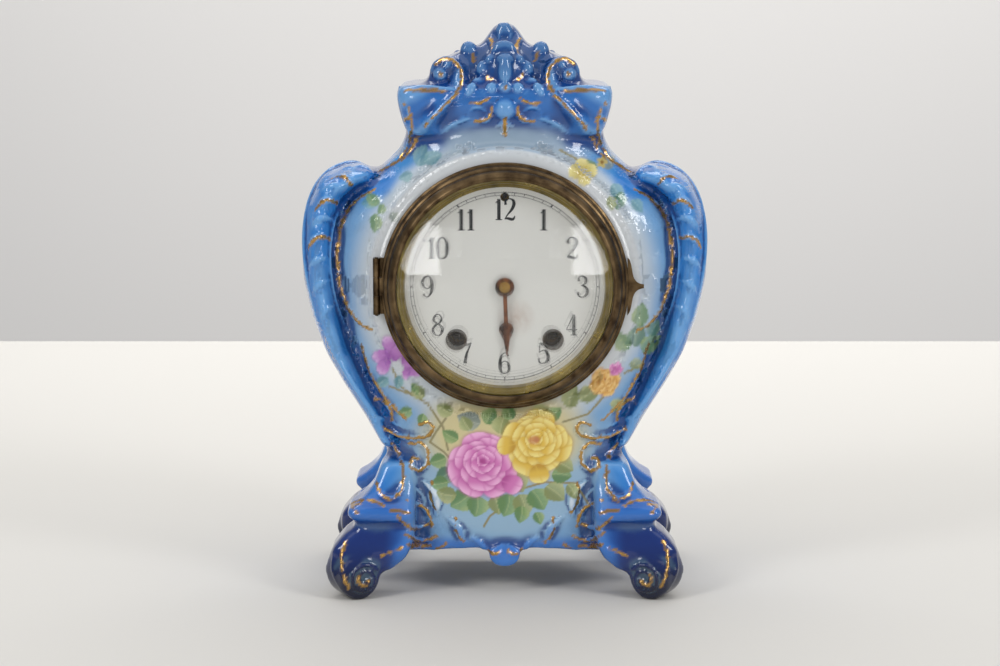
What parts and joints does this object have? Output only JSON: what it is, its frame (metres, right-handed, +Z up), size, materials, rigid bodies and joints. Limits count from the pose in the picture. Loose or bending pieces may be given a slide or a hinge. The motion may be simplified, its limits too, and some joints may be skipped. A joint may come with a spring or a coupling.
{
  "type": "mantel clock",
  "caption": "Glazed porcelain mantel clock: one-piece rococo case on four scroll feet, hinged brass bezel, enamel dial, eight-day pendulum movement striking on a coil gong, opening back door",
  "frame": {"origin": "On the surface the clock stands on, at the middle of the feet's bounding box.", "axes": "+Z up, front of the dial towards -Y, +X to the viewer's right."},
  "size_m": [0.2022, 0.1196, 0.28],
  "materials": {
    "porcelain": "gloss",
    "patinated_brass": "aged",
    "glass": "clear",
    "gilt": "satin",
    "enamel": "gloss",
    "brass": "satin",
    "steel": "satin",
    "rusted_steel": "rusted",
    "blued_steel": "satin",
    "iron": "painted"
  },
  "bodies": {
    "clock_body": {"porcelain_case": "porcelain", "front_mount_ring": "patinated_brass", "bezel_hinge_pin": "patinated_brass", "dial_pan": "brass", "enamel_dial": "enamel", "dial_eyelets": "brass", "rear_mount_ring": "brass", "back_hinge_pin": "steel", "clamp_straps": "steel", "strap_screws": "steel", "front_plate": "brass", "rear_plate": "brass", "plate_pillars": "brass", "pillar_nuts": "steel", "click_screws": "steel", "minute_stud": "steel", "suspension_cock": "brass", "suspension_spring": "steel", "gong_coil": "blued_steel", "gong_block": "iron", "gong_screw": "steel"},
    "bezel_door": {"bezel_ring": "patinated_brass", "bezel_glass": "glass", "sight_ring": "gilt", "latch_tab": "patinated_brass"},
    "back_door": {"back_door_plate": "brass"},
    "back_door_latch": {"back_latch": "brass"},
    "centre_arbor": {"centre_wheel": "brass", "cannon_pinion": "brass"},
    "hour_work": {"hour_wheel": "brass", "hour_hand": "rusted_steel"},
    "minute_work": {"minute_wheel": "brass"},
    "time_great_wheel": {"time_barrel": "brass", "time_mainspring": "steel"},
    "time_winding": {"time_winding_arbor": "steel", "time_ratchet": "steel"},
    "time_pawl": {"time_click": "steel"},
    "time_second": {"time_second_wheel": "brass"},
    "time_middle": {"time_middle_wheel": "brass"},
    "time_third": {"third_wheel": "brass"},
    "time_escape": {"escape_wheel": "brass"},
    "anchor": {"pallets": "steel"},
    "pendulum": {"pendulum_rod": "steel", "pendulum_bob": "brass", "rating_nut": "brass"},
    "regulator": {"regulator_arbor": "steel"},
    "regulator_block": {"regulator_slide": "brass"},
    "strike_great_wheel": {"strike_barrel": "brass", "strike_mainspring": "steel"},
    "strike_winding": {"strike_winding_arbor": "steel", "strike_ratchet": "steel"},
    "strike_pawl": {"strike_click": "steel"},
    "strike_second": {"strike_second_wheel": "brass", "count_wheel": "brass"},
    "strike_pin": {"pin_wheel": "brass"},
    "strike_warning": {"warning_wheel": "brass"},
    "strike_fly": {"fly": "brass"},
    "strike_lock": {"count_lever": "steel"},
    "strike_hammer": {"hammer": "brass"}
  },
  "joints": [
    {"name": "bezel_hinge", "type": "hinge", "parent": "clock_body", "child": "bezel_door", "pos_m": [-0.0622, -0.0455, 0.154], "axis": [0, 0, -1], "range_deg": [0, 110]},
    {"name": "back_door_hinge", "type": "hinge", "parent": "clock_body", "child": "back_door", "pos_m": [-0.0537, 0.0456, 0.154], "axis": [0, 0, 1], "range_deg": [0, 110]},
    {"name": "back_latch_turn", "type": "hinge", "parent": "back_door", "child": "back_door_latch", "pos_m": [0.042, 0.044, 0.154], "axis": [0, 1, 0], "range_deg": [0, 90]},
    {"name": "centre_turn", "type": "hinge", "parent": "clock_body", "child": "centre_arbor", "pos_m": [0, -0.02, 0.154], "axis": [0, 1, 0], "continuous": true},
    {"name": "hour_turn", "type": "hinge", "parent": "clock_body", "child": "hour_work", "pos_m": [0, -0.02, 0.154], "axis": [0, 1, 0], "continuous": true},
    {"name": "minute_wheel_turn", "type": "hinge", "parent": "clock_body", "child": "minute_work", "pos_m": [0, -0.02, 0.14192], "axis": [0, 1, 0], "continuous": true},
    {"name": "time_middle_turn", "type": "hinge", "parent": "clock_body", "child": "time_middle", "pos_m": [0.00814, -0.02, 0.1399], "axis": [0, 1, 0], "continuous": true},
    {"name": "time_second_turn", "type": "hinge", "parent": "clock_body", "child": "time_second", "pos_m": [0.02373, -0.02, 0.14458], "axis": [0, 1, 0], "continuous": true},
    {"name": "time_barrel_turn", "type": "hinge", "parent": "clock_body", "child": "time_great_wheel", "pos_m": [0.0235, -0.02, 0.128], "axis": [0, 1, 0], "continuous": true},
    {"name": "third_turn", "type": "hinge", "parent": "clock_body", "child": "time_third", "pos_m": [0.00784, -0.02, 0.16758], "axis": [0, 1, 0], "continuous": true},
    {"name": "escape_turn", "type": "hinge", "parent": "clock_body", "child": "time_escape", "pos_m": [0, -0.02, 0.178], "axis": [0, 1, 0], "continuous": true},
    {"name": "pin_wheel_turn", "type": "hinge", "parent": "clock_body", "child": "strike_pin", "pos_m": [-0.0254, -0.02, 0.15546], "axis": [0, 1, 0], "continuous": true},
    {"name": "strike_second_turn", "type": "hinge", "parent": "clock_body", "child": "strike_second", "pos_m": [-0.03179, -0.02, 0.14236], "axis": [0, 1, 0], "continuous": true},
    {"name": "strike_barrel_turn", "type": "hinge", "parent": "clock_body", "child": "strike_great_wheel", "pos_m": [-0.0235, -0.02, 0.128], "axis": [0, 1, 0], "continuous": true},
    {"name": "warning_turn", "type": "hinge", "parent": "clock_body", "child": "strike_warning", "pos_m": [-0.02196, -0.02, 0.16829], "axis": [0, 1, 0], "continuous": true},
    {"name": "fly_turn", "type": "hinge", "parent": "clock_body", "child": "strike_fly", "pos_m": [-0.01526, -0.02, 0.17686], "axis": [0, 1, 0], "continuous": true},
    {"name": "time_winding_turn", "type": "hinge", "parent": "clock_body", "child": "time_winding", "pos_m": [0.0235, -0.04, 0.128], "axis": [0, 1, 0], "continuous": true},
    {"name": "strike_winding_turn", "type": "hinge", "parent": "clock_body", "child": "strike_winding", "pos_m": [-0.0235, -0.04, 0.128], "axis": [0, 1, 0], "continuous": true},
    {"name": "time_click_lift", "type": "hinge", "parent": "clock_body", "child": "time_pawl", "pos_m": [0.02159, -0.035, 0.13883], "axis": [0, 1, 0], "range_deg": [0, 12]},
    {"name": "strike_click_lift", "type": "hinge", "parent": "clock_body", "child": "strike_pawl", "pos_m": [-0.02159, -0.035, 0.13883], "axis": [0, -1, 0], "range_deg": [0, 12]},
    {"name": "pendulum_swing", "type": "hinge", "parent": "clock_body", "child": "pendulum", "pos_m": [0, 0.008, 0.1885], "axis": [0, 1, 0], "range_deg": [-3.5, 3.5]},
    {"name": "anchor_rock", "type": "hinge", "parent": "clock_body", "child": "anchor", "pos_m": [0, 0, 0.1885], "axis": [0, 1, 0], "range_deg": [-3.5, 3.5]},
    {"name": "regulator_turn", "type": "hinge", "parent": "clock_body", "child": "regulator", "pos_m": [0, -0.02, 0.1976], "axis": [0, 1, 0], "range_deg": [-50, 50]},
    {"name": "regulator_slide_move", "type": "slide", "parent": "clock_body", "child": "regulator_block", "axis": [0, 0, 1], "range_m": [-0.00139, 0.00139]},
    {"name": "hammer_lift", "type": "hinge", "parent": "clock_body", "child": "strike_hammer", "pos_m": [-0.0385, -0.02, 0.162], "axis": [0, 1, 0], "range_deg": [0, 12]},
    {"name": "lock_lift", "type": "hinge", "parent": "clock_body", "child": "strike_lock", "pos_m": [-0.006, -0.02, 0.1175], "axis": [0, 1, 0], "range_deg": [0, 8]}
  ],
  "couplings": [
    {"joint": "hour_turn", "follows": "centre_turn", "ratio": 0.083333},
    {"joint": "minute_wheel_turn", "follows": "centre_turn", "ratio": -0.33333},
    {"joint": "time_middle_turn", "follows": "centre_turn", "ratio": -0.28571},
    {"joint": "time_second_turn", "follows": "centre_turn", "ratio": 0.064935},
    {"joint": "time_barrel_turn", "follows": "centre_turn", "ratio": -0.016234},
    {"joint": "third_turn", "follows": "centre_turn", "ratio": -12},
    {"joint": "escape_turn", "follows": "centre_turn", "ratio": 150},
    {"joint": "strike_second_turn", "follows": "pin_wheel_turn", "ratio": -0.16},
    {"joint": "strike_barrel_turn", "follows": "pin_wheel_turn", "ratio": 0.04},
    {"joint": "warning_turn", "follows": "pin_wheel_turn", "ratio": -9},
    {"joint": "fly_turn", "follows": "pin_wheel_turn", "ratio": 72},
    {"joint": "anchor_rock", "follows": "pendulum_swing", "ratio": 1},
    {"joint": "regulator_turn", "follows": "regulator_slide_move", "rad_per_m": -625}
  ]
}
